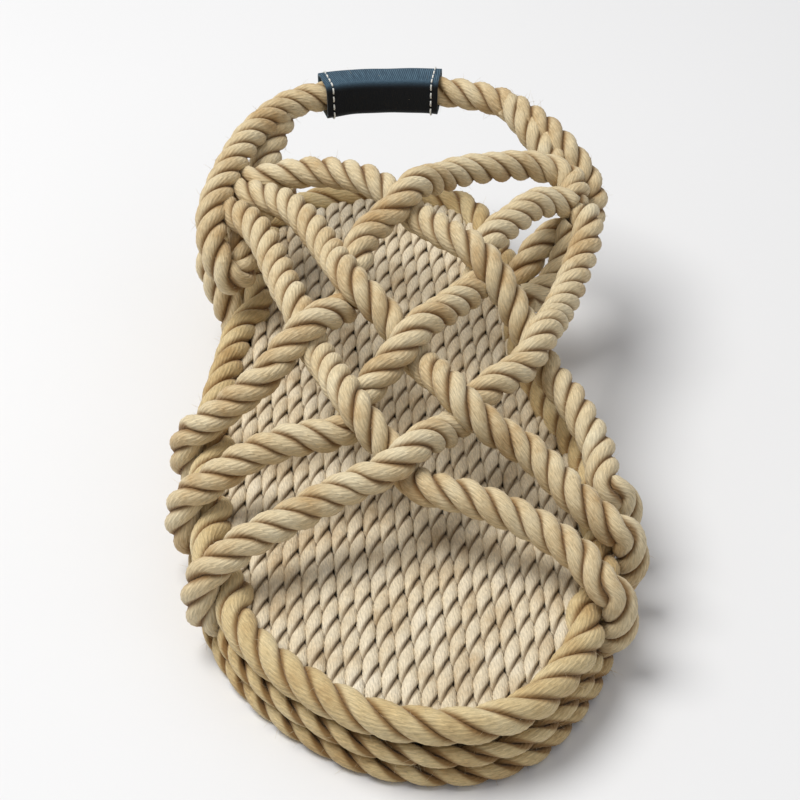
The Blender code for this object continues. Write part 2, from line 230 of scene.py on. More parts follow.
@dataclass
class TubeMesh:
    """Tubes gathered into one mesh, with UVs in millimetres round and along each tube."""

    points: list[np.ndarray] = field(default_factory=list)
    faces: list[tuple[int, ...]] = field(default_factory=list)
    uvs: list[tuple[float, float]] = field(default_factory=list)
    tones: list[np.ndarray] = field(default_factory=list)
    hollows: list[np.ndarray] = field(default_factory=list)
    count: int = 0

    def add(self, rings: np.ndarray, closed: bool, tone: float, girth: float, hollow: np.ndarray) -> None:
        """Add one tube.

        Args:
            rings: points by ring, corner and axis, counted so that the faces look out.
            closed: whether the last ring joins the first.
            tone: the tube's own lightness, from 0 to 1.
            girth: distance round the tube in metres.
            hollow: share of painted shade at each point, from how far it lies in the hollow between tubes, or
                from a face that is painted darker.
        """
        ring_count, sides = rings.shape[:2]
        centres = rings.mean(axis=1)
        along = lengths_along(np.vstack([centres, centres[:1]]) if closed else centres) / MILLIMETRE
        around = np.arange(sides + 1) * girth / sides / MILLIMETRE
        base = self.count
        for ring in range(ring_count if closed else ring_count - 1):
            low = base + ring * sides
            high = base + (ring + 1) % ring_count * sides
            for side in range(sides):
                beyond = (side + 1) % sides
                self.faces.append((low + side, low + beyond, high + beyond, high + side))
                self.uvs += [(around[side], along[ring]), (around[side + 1], along[ring]),
                             (around[side + 1], along[ring + 1]), (around[side], along[ring + 1])]
        if not closed:
            first = tuple(base + side for side in reversed(range(sides)))
            last = tuple(base + (ring_count - 1) * sides + side for side in range(sides))
            for cap in (first, last):
                self.faces.append(cap)
                self.uvs += [(around[index % sides], 0.0) for index in cap]
        self.points.append(rings.reshape(-1, 3))
        self.tones.append(np.full(ring_count * sides, tone))
        self.hollows.append(hollow.reshape(-1))
        self.count += ring_count * sides

    def make(self, name: str, material: bpy.types.Material) -> bpy.types.Object:
        """Make the object.

        Args:
            name: name of the piece.
            material: its finish.

        Returns:
            The linked object, smooth shaded, with the attributes tone and hollow, the mask of the painted
            shade.
        """
        mesh = bpy.data.meshes.new(name)
        mesh.from_pydata(np.concatenate(self.points).tolist(), [], self.faces)
        layer = mesh.uv_layers.new(name="UVMap")
        layer.data.foreach_set("uv", np.array(self.uvs, dtype=np.float32).ravel())
        for label, parts in (("tone", self.tones), ("hollow", self.hollows)):
            attribute = mesh.attributes.new(label, "FLOAT", "POINT")
            attribute.data.foreach_set("value", np.concatenate(parts).astype(np.float32))
        mesh.materials.append(material)
        mesh.shade_smooth()
        piece = bpy.data.objects.new(name, mesh)
        bpy.context.scene.collection.objects.link(piece)
        return piece


@dataclass(frozen=True)
class LaidRope:
    """Rope of twisted strands.

    Strands are squeezed ovals: helix is the radius that their middles run on, across and through are the
    half widths of a strand beside and along that radius, all as shares of the rope's diameter. Each of
    wander_rates is a slow swelling of the strand, counted in waves for each turn of the rope.
    """

    diameter: float
    strands: int
    pitch: float
    helix: float = 0.265
    across: float = 0.242
    through: float = 0.235
    sides: int = 12
    steps_a_turn: int = 22
    flatness: float = 1.0
    lay: Lay = Lay.Z
    wander_rates: tuple[float, ...] = (0.5, 1.3, 2.4)

    def twist_into(self, target: TubeMesh, path: np.ndarray, closed: bool, seed: int, phase: float = 0.0,
                   swell: float = 0.035) -> None:
        """Lay the strands along a path.

        Args:
            target: mesh that gets the tubes.
            path: middle line of the rope.
            closed: whether the path is a loop.
            seed: number that the small unevenness follows.
            phase: turn of the first strand at the start, in radians.
            swell: share by which a strand's thickness wanders.
        """
        random = np.random.default_rng(seed)
        line = stepped(path, self.pitch / self.steps_a_turn, closed)
        tangents, normals = carried_normals(line, closed)
        sideways = np.cross(tangents, normals)
        distances = lengths_along(np.vstack([line, line[:1]]) if closed else line)
        total = distances[-1]
        turns = max(1, round(total / self.pitch)) if closed else total / self.pitch
        place = distances[:len(line)] / total
        corners = 2 * math.pi * np.arange(self.sides) / self.sides
        # Mask of painted shade: 0 on a strand's outer face, 1 on its face towards the rope's middle, where
        # neighbours meet.
        hollow = (1.0 - np.cos(corners)) / 2
        girth = math.pi * (self.across + self.through) * self.diameter
        for strand in range(self.strands):
            angle = phase + self.lay.value * 2 * math.pi * turns * place + 2 * math.pi * strand / self.strands
            radial = np.cos(angle)[:, None] * normals + np.sin(angle)[:, None] * sideways
            wander = sum(np.sin(2 * math.pi * (round(turns * rate) * place + random.random()))
                         for rate in self.wander_rates) / len(self.wander_rates)
            thick = (1.0 + swell * wander)[:, None]
            middle = line + radial * (self.helix * self.diameter)
            heading = tangents_of(middle, closed)
            beside = unit(np.cross(heading, radial))
            outward = np.cross(beside, heading)
            out_reach = np.cos(corners) * (self.through * self.diameter * thick)
            side_reach = np.sin(corners) * (self.across * self.diameter * thick)
            rings = (middle[:, None] + outward[:, None] * out_reach[..., None]
                     + beside[:, None] * side_reach[..., None])
            if self.flatness != 1.0:
                rings[..., 2] = line[:, None, 2] + (rings[..., 2] - line[:, None, 2]) * self.flatness
            target.add(rings, closed, float(random.random()), girth, np.broadcast_to(hollow, rings.shape[:2]))


STRAP_ROPE = LaidRope(diameter=0.0104, strands=3, pitch=0.0225)


@dataclass(frozen=True)
class Last:
    """Last that the sandal is laid on, with the outline of its sole and the surface of its instep.

    Insets, rises and the drop of a rope that turns down the edge are shares of a rope's thickness: at its
    shoulder over the border rope, at its waist by the second course, and where it ends below that.
    """

    length: float = 0.277
    ball_width: float = 0.123
    rope: float = 0.0104
    lower_rope: float = 0.0064
    middle_rope: float = 0.0062
    footbed_drop: float = 0.0041
    instep_rise: float = 0.034
    strap_proud: float = 0.0008
    gap: float = 0.0003
    heel_tip_across: float = 0.03
    toe_tip_across: float = 0.06
    pinch_width: float = 0.75
    shoulder_inset: float = 0.175
    shoulder_rise: float = 0.74
    waist_inset: float = 0.08
    waist_rise: float = 0.35
    end_inset: float = 0.55
    end_drop: float = 0.25
    outline_rows: tuple[LastRow, ...] = (
        LastRow(0.004, 0.23, 0.17),
        LastRow(0.022, 0.44, 0.41),
        LastRow(0.061, 0.63, 0.62),
        LastRow(0.144, 0.735, 0.745),
        LastRow(0.250, 0.772, 0.810),
        LastRow(0.380, 0.756, 0.930),
        LastRow(0.470, 0.790, 1.010),
        LastRow(0.560, 0.894, 1.065),
        LastRow(0.660, 0.951, 1.080),
        LastRow(0.760, 0.927, 1.030),
        LastRow(0.841, 0.821, 0.911),
        LastRow(0.910, 0.655, 0.710),
        LastRow(0.968, 0.440, 0.425),
        LastRow(0.992, 0.250, 0.190),
    )
    instep_rows: tuple[InstepRow, ...] = (
        InstepRow(0.144, 0.87, 0.61, 0.13, 0.98),
        InstepRow(0.289, 1.00, 0.50, 0.115, 0.98),
        InstepRow(0.397, 0.94, 0.12, 0.065, 0.98),
        InstepRow(0.542, 0.70, 0.00, -0.05, 1.00),
        InstepRow(0.693, 0.38, 0.00, -0.065, 1.00),
        InstepRow(0.830, 0.20, 0.00, -0.05, 0.98),
    )

    @property
    def half_ball(self) -> float:
        """Half of the ball's width."""
        return self.ball_width / 2

    @property
    def lower_z(self) -> float:
        """Height of the lowest course's middle."""
        return self.lower_rope / 2

    @property
    def middle_z(self) -> float:
        """Height of the second course's middle."""
        return self.lower_rope + self.gap + self.middle_rope / 2

    @property
    def top_z(self) -> float:
        """Height of the border rope's middle."""
        return self.middle_z + self.middle_rope / 2 + self.gap + self.rope / 2

    @property
    def deck(self) -> float:
        """Height of the middle of a rope that lies on the border rope."""
        return self.top_z + self.rope + self.gap

    @property
    def footbed_top(self) -> float:
        """Height of the footbed's cords."""
        return self.top_z + self.rope / 2 - self.footbed_drop

    def place(self, across: float, along: float, z: float = 0.0) -> np.ndarray:
        """Point from a share of half the ball, a share of the length from the heel, and a height."""
        return np.array((across * self.half_ball, self.length * (0.5 - along), z))

    def outline(self) -> np.ndarray:
        """Outline of the sole: heel tip, medial side, toe tip, lateral side.

        Returns:
            Closed loop on the floor, one row for each point.
        """
        medial = [self.place(row.medial, row.along) for row in self.outline_rows]
        lateral = [self.place(-row.lateral, row.along) for row in reversed(self.outline_rows)]
        heel_tip = self.place(self.heel_tip_across, 0.0)
        toe_tip = self.place(self.toe_tip_across, 1.0)
        return smooth(np.array([heel_tip, *medial, toe_tip, *lateral]), closed=True)

    def outward(self, tangents: np.ndarray) -> np.ndarray:
        """Level directions that look out of the outline."""
        return np.stack([-tangents[..., 1], tangents[..., 0], np.zeros(tangents.shape[:-1])], axis=-1)

    def rim_loop(self, inset: float, z: float, pinches: list[tuple[np.ndarray, float]],
                 step: float) -> np.ndarray:
        """Outline set in from the edge, pressed in further where straps pass over it.

        Args:
            inset: distance from the edge.
            z: height of the loop.
            pinches: place on the edge and depth of each press.
            step: length of a step.

        Returns:
            Closed loop, one row for each point.
        """
        ring = stepped(self.outline(), step, closed=True)
        depth = np.full(len(ring), inset)
        for spot, press in pinches:
            away = np.linalg.norm(ring[:, :2] - spot[:2], axis=1)
            depth += press * np.exp(-(away / (self.rope * self.pinch_width)) ** 2)
        loop = ring - self.outward(tangents_of(ring, True)) * depth[:, None]
        loop[:, 2] = z
        return loop

    def rim_station(self, side: Side, along: float) -> tuple[np.ndarray, np.ndarray]:
        """Point on the edge at a share of the length, with its outward direction.

        Args:
            side: side of the foot.
            along: share of the length, counted from the heel.

        Returns:
            The point on the floor and a level unit vector.
        """
        outline = self.outline()
        half = len(outline) // 2
        edge = outline[:half + 1] if side is Side.MEDIAL else np.vstack([outline[half:], outline[:1]])
        target = self.place(0.0, along)[1]
        crossings = (edge[:-1, 1] - target) * (edge[1:, 1] - target) <= 0.0
        index = int(np.argmax(crossings))
        start, end = edge[index], edge[index + 1]
        share = (target - start[1]) / (end[1] - start[1])
        return start + (end - start) * share, self.outward(unit(end - start))

    def rim_wrap(self, side: Side, along: float, over: bool) -> list[np.ndarray]:
        """Points that take a rope over the rim, if it comes from inside, and down the edge.

        Args:
            side: side of the foot.
            along: share of the length, counted from the heel.
            over: whether the rope comes from inside the rim.

        Returns:
            Points from the top down.
        """
        edge, outward = self.rim_station(side, along)
        beside = edge + outward * self.strap_proud
        up = np.array((0.0, 0.0, 1.0))
        points = []
        if over:
            points.append(edge - outward * self.rope / 2 + up * self.deck)
            points.append(beside - outward * self.rope * self.shoulder_inset
                          + up * (self.top_z + self.rope * self.shoulder_rise))
        points.append(beside + up * self.top_z)
        points.append(edge - outward * self.rope * self.waist_inset
                      + up * (self.middle_z + self.middle_rope * self.waist_rise))
        points.append(edge - outward * self.rope * self.end_inset
                      + up * (self.middle_z - self.middle_rope * self.end_drop))
        return points

    def instep_height(self, points: np.ndarray) -> np.ndarray:
        """Height of the instep's surface over points of the plan.

        Args:
            points: one row for each point, whose X and Y are read.

        Returns:
            A height for each point.
        """
        rows = np.array(self.instep_rows)
        along = np.clip(0.5 - points[:, 1] / self.length, rows[0, 0], rows[-1, 0])
        crest, side, centre, half = (np.interp(along, rows[:, 0], column) for column in rows[:, 1:].T)
        lean = np.minimum(np.abs(points[:, 0] / self.half_ball - centre) / half, 1.0)
        return self.deck + self.instep_rise * (side + (crest - side) * (1.0 - lean ** 2))

    def knot_points(self, knots: tuple[Knot, ...]) -> list[np.ndarray]:
        """Points of a free rope, whose heights are counted from the deck."""
        return [self.place(knot.across, knot.along, self.deck + knot.rise * self.instep_rise)
                for knot in knots]

    def to_frame(self) -> np.ndarray:
        """Shift from the last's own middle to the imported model's, read off the lowest course.

        Returns:
            The shift, level with the floor.
        """
        low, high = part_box("lower_rim_rope")
        outline = self.outline()
        middle = (outline.min(axis=0) + outline.max(axis=0)) / 2
        return np.array(((low.x + high.x) / 2 - middle[0], (low.y + high.y) / 2 - middle[1], 0.0))


@dataclass(frozen=True)
class JuteRope:
    """Jute yarn laid into rope.

    Long bast fibres lie side by side in each yarn, so the strand has fine slanting lines, a dry matt face
    with a faint silky sheen, and patches where the fibre is browner. The hollows between strands are
    painted darker, as painted shade.

    yarn_spacing, fibre_width and patch are in millimetres. A real fibre is about 0.06 mm wide, too fine to
    show, so fibre_width is drawn as coarse as it needs to show. bump_depth is in metres.
    """

    name: str = "laid_jute"
    pale: str = "#EADDBC"
    body: str = "#DCC8A0"
    brown: str = "#C2A374"
    # Painted shade: the dark brown that the hollows between strands are mixed towards.
    crevice_shade: str = "#7E5A2C"
    roughness: float = 0.78
    sheen: float = 0.12
    sheen_roughness: float = 0.45
    specular: float = 0.28
    yarn_spacing: float = 0.95
    yarn_turn: float = -0.72
    yarn_wobble: float = 1.6
    yarn_relief: float = 0.55
    fibre_width: float = 0.26
    fibre_stretch: float = 0.35
    streak_low: float = 0.70
    streak_high: float = 1.10
    patch: float = 14.0
    strand_contrast: float = 0.16
    crevice_start: float = 0.12
    crevice_end: float = 0.50
    crevice_strength: float = 0.85
    bump: float = 0.55
    bump_depth: float = 0.00035

    def make(self) -> bpy.types.Material:
        """Make the material. Its scales are worked out from millimetres, which the UVs are in.

        Returns:
            The new material.
        """
        material = bpy.data.materials.new(self.name)
        material.use_nodes = True
        tree = material.node_tree
        shader = tree.nodes["Principled BSDF"]
        shader.inputs["Roughness"].default_value = self.roughness
        shader.inputs["Sheen Weight"].default_value = self.sheen
        shader.inputs["Sheen Roughness"].default_value = self.sheen_roughness
        shader.inputs["Specular IOR Level"].default_value = self.specular
        uv = add_node(tree, "ShaderNodeUVMap", uv_map="UVMap")
        turned = add_node(tree, "ShaderNodeMapping", {
            "Vector": uv.outputs["UV"], "Rotation": (0, 0, self.yarn_turn)})
        yarns = add_node(tree, "ShaderNodeTexWave", {
            "Vector": turned.outputs["Vector"], "Scale": 1 / self.yarn_spacing / math.pi,
            "Distortion": self.yarn_wobble, "Detail": 2.0, "Detail Scale": 0.6}, bands_direction="X")
        drawn = add_node(tree, "ShaderNodeMapping", {
            "Vector": turned.outputs["Vector"], "Scale": (1 / self.fibre_width, self.fibre_stretch, 1.0)})
        fibres = add_node(tree, "ShaderNodeTexNoise", {
            "Vector": drawn.outputs["Vector"], "Scale": 1.0, "Detail": 3.0, "Roughness": 0.6})
        tone = add_node(tree, "ShaderNodeAttribute", attribute_name="tone")
        hollow = add_node(tree, "ShaderNodeAttribute", attribute_name="hollow")
        place = add_node(tree, "ShaderNodeTexCoord")
        patches = add_node(tree, "ShaderNodeTexNoise", {
            "Vector": place.outputs["Object"], "Scale": 1 / (self.patch * MILLIMETRE), "Detail": 4.0,
            "Roughness": 0.62})
        mottle = add_node(tree, "ShaderNodeMath", {
            0: tone.outputs["Fac"], 1: self.strand_contrast, 2: patches.outputs["Fac"]},
            operation="MULTIPLY_ADD")
        spread = add_node(tree, "ShaderNodeMapRange", {
            "Value": mottle.outputs["Value"], "From Min": 0.32, "From Max": 0.86, "To Min": 0.0,
            "To Max": 1.0})
        colour = add_node(tree, "ShaderNodeValToRGB", {"Fac": spread.outputs["Result"]})
        set_ramp(colour, ((0.0, self.brown), (0.42, self.body), (1.0, self.pale)))
        streak = add_node(tree, "ShaderNodeMapRange", {
            "Value": fibres.outputs["Fac"], "From Min": 0.32, "From Max": 0.68,
            "To Min": self.streak_low, "To Max": self.streak_high})
        line = add_node(tree, "ShaderNodeMapRange", {
            "Value": yarns.outputs["Fac"], "From Min": 0.0, "From Max": 0.5, "To Min": 0.90, "To Max": 1.0})
        shade = add_node(tree, "ShaderNodeMath", {
            0: streak.outputs["Result"], 1: line.outputs["Result"]}, operation="MULTIPLY")
        streaked = add_node(tree, "ShaderNodeMix", {
            0: 1.0, 6: colour.outputs["Color"], 7: shade.outputs["Value"]}, data_type="RGBA",
            blend_type="MULTIPLY")
        # Painted shade: the hollows between strands are mixed towards a dark brown, by the hollow attribute.
        depth = add_node(tree, "ShaderNodeMapRange", {
            "Value": hollow.outputs["Fac"], "From Min": self.crevice_start, "From Max": self.crevice_end,
            "To Min": 0.0, "To Max": self.crevice_strength},
            interpolation_type="SMOOTHSTEP")
        shaded = add_node(tree, "ShaderNodeMix", {
            0: depth.outputs["Result"], 6: streaked.outputs[2], 7: linear(self.crevice_shade)}, data_type="RGBA")
        tree.links.new(shaded.outputs[2], shader.inputs["Base Color"])
        relief = add_node(tree, "ShaderNodeMath", {
            0: yarns.outputs["Fac"], 1: self.yarn_relief, 2: fibres.outputs["Fac"]},
            operation="MULTIPLY_ADD")
        bump = add_node(tree, "ShaderNodeBump", {
            "Strength": self.bump, "Distance": self.bump_depth, "Height": relief.outputs["Value"]})
        tree.links.new(bump.outputs["Normal"], shader.inputs["Normal"])
        return material


@dataclass(frozen=True)
class CottonTwill:
    """Cotton twill, woven and piece dyed: steep fine ribs, matt, a little pale where the ribs stand up.

    rib is their spacing in millimetres, slub the waves of uneven yarn for each millimetre, and bump_depth
    is in metres.
    """

    name: str = "cotton_twill"
    cloth: str = "#22394A"
    worn: str = "#5A7688"
    # Painted shade: near black for the sleeve's face turned to the toe, which lies away from the light.
    front_shade: str = "#15181C"
    roughness: float = 0.82
    sheen: float = 0.2
    sheen_roughness: float = 0.4
    specular: float = 0.2
    rib: float = 0.55
    rib_slant: float = 0.95
    rib_wobble: float = 0.5
    slub: float = 0.9
    bump: float = 0.5
    bump_depth: float = 0.00015

    def make(self) -> bpy.types.Material:
        """Make the material, whose ribs are drawn at their real spacing in millimetres.

        Returns:
            The new material.
        """
        material = bpy.data.materials.new(self.name)
        material.use_nodes = True
        tree = material.node_tree
        shader = tree.nodes["Principled BSDF"]
        shader.inputs["Roughness"].default_value = self.roughness
        shader.inputs["Sheen Weight"].default_value = self.sheen
        shader.inputs["Sheen Roughness"].default_value = self.sheen_roughness
        shader.inputs["Specular IOR Level"].default_value = self.specular
        uv = add_node(tree, "ShaderNodeUVMap", uv_map="UVMap")
        slanted = add_node(tree, "ShaderNodeMapping", {
            "Vector": uv.outputs["UV"], "Rotation": (0, 0, self.rib_slant)})
        ribs = add_node(tree, "ShaderNodeTexWave", {
            "Vector": slanted.outputs["Vector"], "Scale": 1 / self.rib / math.pi,
            "Distortion": self.rib_wobble}, bands_direction="X")
        slub = add_node(tree, "ShaderNodeTexNoise", {
            "Vector": uv.outputs["UV"], "Scale": self.slub, "Detail": 5.0})
        mixed = add_node(tree, "ShaderNodeMath", {
            0: ribs.outputs["Fac"], 1: slub.outputs["Fac"]}, operation="MULTIPLY")
        colour = add_node(tree, "ShaderNodeValToRGB", {"Fac": mixed.outputs["Value"]})
        set_ramp(colour, ((0.12, self.cloth), (0.62, self.worn)))
        # Painted shade: the face turned to the toe, given by the hollow attribute, is mixed towards near
        # black.
        front_shade = add_node(tree, "ShaderNodeAttribute", attribute_name="hollow")
        darker = add_node(tree, "ShaderNodeMix", {
            0: front_shade.outputs["Fac"], 6: colour.outputs["Color"], 7: linear(self.front_shade)}, data_type="RGBA")
        tree.links.new(darker.outputs[2], shader.inputs["Base Color"])
        bump = add_node(tree, "ShaderNodeBump", {
            "Strength": self.bump, "Distance": self.bump_depth, "Height": ribs.outputs["Fac"]})
        tree.links.new(bump.outputs["Normal"], shader.inputs["Normal"])
        return material


@dataclass(frozen=True)
class PlainFinish:
    """Even finish with a faint mottle, for spun polyester thread and for matt paper on the studio floor.

    grain is the size of the mottle in millimetres.
    """

    name: str
    colour: str
    mottle: str
    roughness: float
    grain: float
    specular: float = 0.2

    def make(self) -> bpy.types.Material:
        """Make the material.

        Returns:
            The new material.
        """
        material = bpy.data.materials.new(self.name)
        material.use_nodes = True
        tree = material.node_tree
        shader = tree.nodes["Principled BSDF"]
        shader.inputs["Roughness"].default_value = self.roughness
        shader.inputs["Specular IOR Level"].default_value = self.specular
        place = add_node(tree, "ShaderNodeTexCoord")
        noise = add_node(tree, "ShaderNodeTexNoise", {
            "Vector": place.outputs["Object"], "Scale": 1 / (self.grain * MILLIMETRE), "Detail": 2.0})
        colour = add_node(tree, "ShaderNodeValToRGB", {"Fac": noise.outputs["Fac"]})
        set_ramp(colour, ((0.3, self.mottle), (0.7, self.colour)))
        tree.links.new(colour.outputs["Color"], shader.inputs["Base Color"])
        return material


@dataclass
class Finishes:
    """Every finish, made once."""

    straps: bpy.types.Material = field(default_factory=lambda: JuteRope().make())
    rims: bpy.types.Material = field(default_factory=lambda: JuteRope(
        name="border_jute", pale="#E3D1A6", body="#D3BB8A", brown="#B89866").make())
    # The footbed's cords get the same painted shade in the gaps between them, starting further into the
    # hollow.
    footbed: bpy.types.Material = field(default_factory=lambda: JuteRope(
        name="twined_jute", pale="#F1E6CF", body="#E4D5B8", brown="#C9B28E", crevice_shade="#6E5430",
        crevice_start=0.26, crevice_end=0.70, crevice_strength=0.7, yarn_spacing=0.8, bump=0.4).make())
    twill: bpy.types.Material = field(default_factory=lambda: CottonTwill().make())
    thread: bpy.types.Material = field(default_factory=lambda: PlainFinish(
        "polyester_thread", "#E9E9E4", "#CFCFCA", 0.6, 1.0).make())


def mount_piece(piece: bpy.types.Object, slot: str, *nodes: str) -> None:
    """Make a piece ride on the shoe and stand for its CAD nodes.

    Args:
        piece: the new piece.
        slot: material slot of the record; not used.
        nodes: CAD nodes that it replaces.
    """
    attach(piece, "root")
    if nodes:
        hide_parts(*nodes)
    piece.data.calc_loop_triangles()
    LOG.info("%s: %d triangles", piece.name, len(piece.data.loop_triangles))


@dataclass
class WovenUpper:
    """Six rope straps in a plain weave over the instep, and the stays that tie both ankles down."""

    last: Last
    finishes: Finishes
    weave_lift: float = 0.0043
    weave_reach: float = 0.021
    step: float = 0.0074
    stay_along: float = 0.262
    seed: int = 10
    phase_step: float = 0.9
    rope: LaidRope = STRAP_ROPE
    lateral_straps: tuple[Strap, ...] = (
        Strap(Side.MEDIAL, 0.690, (
            (-0.72, 0.178), (-0.58, 0.189), (-0.41, 0.195), (-0.21, 0.219), (0.05, 0.278),
            (0.24, 0.361), (0.49, 0.436), (0.64, 0.489), (0.80, 0.579), (0.865, 0.635))),
        Strap(Side.MEDIAL, 0.758, (
            (-0.82, 0.186), (-0.69, 0.211), (-0.55, 0.246), (-0.43, 0.299), (-0.32, 0.371),
            (-0.23, 0.452), (-0.01, 0.513), (0.22, 0.627), (0.52, 0.669), (0.72, 0.731))),
        Strap(Side.MEDIAL, 0.846, (
            (-0.80, 0.228), (-0.69, 0.275), (-0.61, 0.330), (-0.55, 0.394), (-0.46, 0.475),
            (-0.28, 0.625), (-0.08, 0.679), (0.04, 0.719), (0.46, 0.770), (0.66, 0.812))),
    )
    medial_straps: tuple[Strap, ...] = (
        Strap(Side.LATERAL, 0.545, (
            (1.00, 0.250), (1.03, 0.207), (0.94, 0.189), (0.79, 0.190), (0.58, 0.211),
            (0.35, 0.241), (0.04, 0.328), (-0.14, 0.367), (-0.29, 0.468), (-0.69, 0.540))),
        Strap(Side.LATERAL, 0.655, (
            (0.98, 0.256), (0.88, 0.264), (0.76, 0.286), (0.62, 0.326), (0.49, 0.364),
            (0.35, 0.445), (-0.01, 0.551), (-0.21, 0.590), (-0.34, 0.629), (-0.79, 0.645))),
        Strap(Side.LATERAL, 0.780, (
            (1.05, 0.262), (1.05, 0.296), (0.99, 0.334), (0.82, 0.426), (0.60, 0.535),
            (0.29, 0.602), (-0.07, 0.698), (-0.32, 0.716), (-0.60, 0.744), (-0.82, 0.765))),
    )
    stay: tuple[Knot, ...] = (
        Knot(-0.71, 0.218, 0.50), Knot(-0.80, 0.192, 0.35), Knot(-0.87, 0.205, 0.17),
        Knot(-0.91, 0.232, 0.00),
    )
    medial_stay: tuple[Knot, ...] = (
        Knot(0.99, 0.270, 0.46), Knot(0.95, 0.292, 0.28), Knot(0.88, 0.312, 0.10),
        Knot(0.79, 0.327, 0.02), Knot(0.70, 0.338, 0.01),
    )

    def stations(self) -> list[np.ndarray]:
        """Places on the sole's edge where straps and stay pass over it.

        Returns:
            A point for each strap, and one for the stay.
        """
        straps = [*self.lateral_straps, *self.medial_straps]
        spots = [self.last.rim_station(strap.rim_side, strap.rim_along)[0] for strap in straps]
        return [*spots, self.last.rim_station(Side.LATERAL, self.stay_along)[0]]

    def lift(self, distances: np.ndarray, crossings: list[tuple[float, int]]) -> np.ndarray:
        """Rise or dip along a strap: half a wave at each crossing, up where it passes over.

        Args:
            distances: distance of each point from the strap's start.
            crossings: distance of each crossing, with 1 where the strap passes over and -1 under.

        Returns:
            A height for each point.
        """
        total = np.zeros(len(distances))
        for spot, sign in crossings:
            share = np.minimum(np.abs(distances - spot) / self.weave_reach, 1.0)
            total += sign * self.weave_lift * np.cos(math.pi / 2 * share) ** 2
        return total

    def paths(self) -> list[np.ndarray]:
        """Middle lines of the six straps, over the instep and down the rim.

        Returns:
            A polyline for each strap.
        """
        straps = [*self.lateral_straps, *self.medial_straps]
        plans = [smooth(np.array([self.last.place(*row) for row in strap.route])) for strap in straps]
        crossings: list[list[tuple[float, int]]] = [[] for _ in straps]
        for i in range(len(self.lateral_straps)):
            for j in range(len(self.lateral_straps), len(straps)):
                sign = 1 if (i + j) % 2 == 0 else -1
                apart = np.linalg.norm(plans[i][:, None] - plans[j][None], axis=2)
                a, b = np.unravel_index(np.argmin(apart), apart.shape)
                crossings[i].append((lengths_along(plans[i])[a], sign))
                crossings[j].append((lengths_along(plans[j])[b], -sign))
        paths = []
        for strap, plan, meets in zip(straps, plans, crossings):
            lifted = plan.copy()
            height = self.last.instep_height(plan) + self.lift(lengths_along(plan), meets)
            lifted[:, 2] = np.maximum(height, self.last.deck)
            wrap = self.last.rim_wrap(strap.rim_side, strap.rim_along, over=True)
            paths.append(smooth(np.vstack([stepped(lifted, self.step), wrap])))
        return paths

    def build(self) -> bpy.types.Object:
        """Lay all straps and the stays as one piece.

        Returns:
            The piece.
        """
        shift = self.last.to_frame()
        knots = self.last.knot_points(self.stay)
        knots += self.last.rim_wrap(Side.LATERAL, self.stay_along, over=False)
        mesh = TubeMesh()
        stays = [smooth(np.array(knots)), smooth(np.array(self.last.knot_points(self.medial_stay)))]
        for number, path in enumerate([*self.paths(), *stays]):
            self.rope.twist_into(mesh, path + shift, False, seed=self.seed + number,
                                 phase=self.phase_step * number)
        piece = mesh.make("laid_rope_straps", self.finishes.straps)
        mount_piece(piece, "strap_rope", "upper_straps")
        return piece


@dataclass
class HeelStrap:
    """Rope that loops round the heel from ankle to ankle, with its two spliced tails."""

    last: Last
    finishes: Finishes
    rope: LaidRope = STRAP_ROPE
    loop_seed: int = 40
    loop_phase: float = 0.4
    tail_seed: int = 50
    tail_phase: float = 1.7
    knots: tuple[Knot, ...] = (
        Knot(-0.44, 0.168, 0.40), Knot(-0.58, 0.184, 0.40), Knot(-0.68, 0.203, 0.43),
        Knot(-0.73, 0.228, 0.43), Knot(-0.735, 0.258, 0.32), Knot(-0.75, 0.287, 0.20),
        Knot(-0.82, 0.303, 0.22), Knot(-0.88, 0.287, 0.40), Knot(-0.90, 0.259, 0.56),
        Knot(-0.87, 0.225, 0.70), Knot(-0.78, 0.171, 0.81), Knot(-0.65, 0.109, 0.88),
        Knot(-0.44, 0.053, 0.92), Knot(-0.18, 0.034, 0.94), Knot(0.07, 0.031, 0.94),
        Knot(0.40, 0.040, 0.94), Knot(0.70, 0.066, 0.92), Knot(0.89, 0.116, 0.88),
        Knot(1.02, 0.155, 0.75), Knot(1.12, 0.183, 0.54), Knot(1.14, 0.210, 0.41),
        Knot(1.10, 0.233, 0.34), Knot(1.02, 0.247, 0.31), Knot(0.92, 0.256, 0.31),
        Knot(0.82, 0.272, 0.26), Knot(0.73, 0.290, 0.11), Knot(0.67, 0.302, -0.10),
    )
    lateral_tail: tuple[Knot, ...] = (
        Knot(-0.44, 0.041, 0.87), Knot(-0.51, 0.073, 0.78), Knot(-0.56, 0.102, 0.69),
        Knot(-0.60, 0.130, 0.60), Knot(-0.62, 0.156, 0.50),
    )
    medial_tail: tuple[Knot, ...] = (
        Knot(0.76, 0.078, 0.92), Knot(0.83, 0.112, 0.86), Knot(0.90, 0.147, 0.76),
        Knot(0.96, 0.178, 0.64),
    )

    def path(self) -> np.ndarray:
        """Middle line of the loop, from its turn at the outer ankle to the border rope at the inner one."""
        return smooth(np.array(self.last.knot_points(self.knots)))

    def build(self) -> bpy.types.Object:
        """Lay the loop and its tails as one piece.

        Returns:
            The piece.
        """
        shift = self.last.to_frame()
        mesh = TubeMesh()
        self.rope.twist_into(mesh, self.path() + shift, False, seed=self.loop_seed, phase=self.loop_phase)
        for number, tail in enumerate((self.lateral_tail, self.medial_tail)):
            path = smooth(np.array(self.last.knot_points(tail)))
            self.rope.twist_into(mesh, path + shift, False, seed=self.tail_seed + number,
                                 phase=self.tail_phase)
        piece = mesh.make("laid_rope_heel_strap", self.finishes.straps)
        mount_piece(piece, "strap_rope", "heel_strap")
        return piece


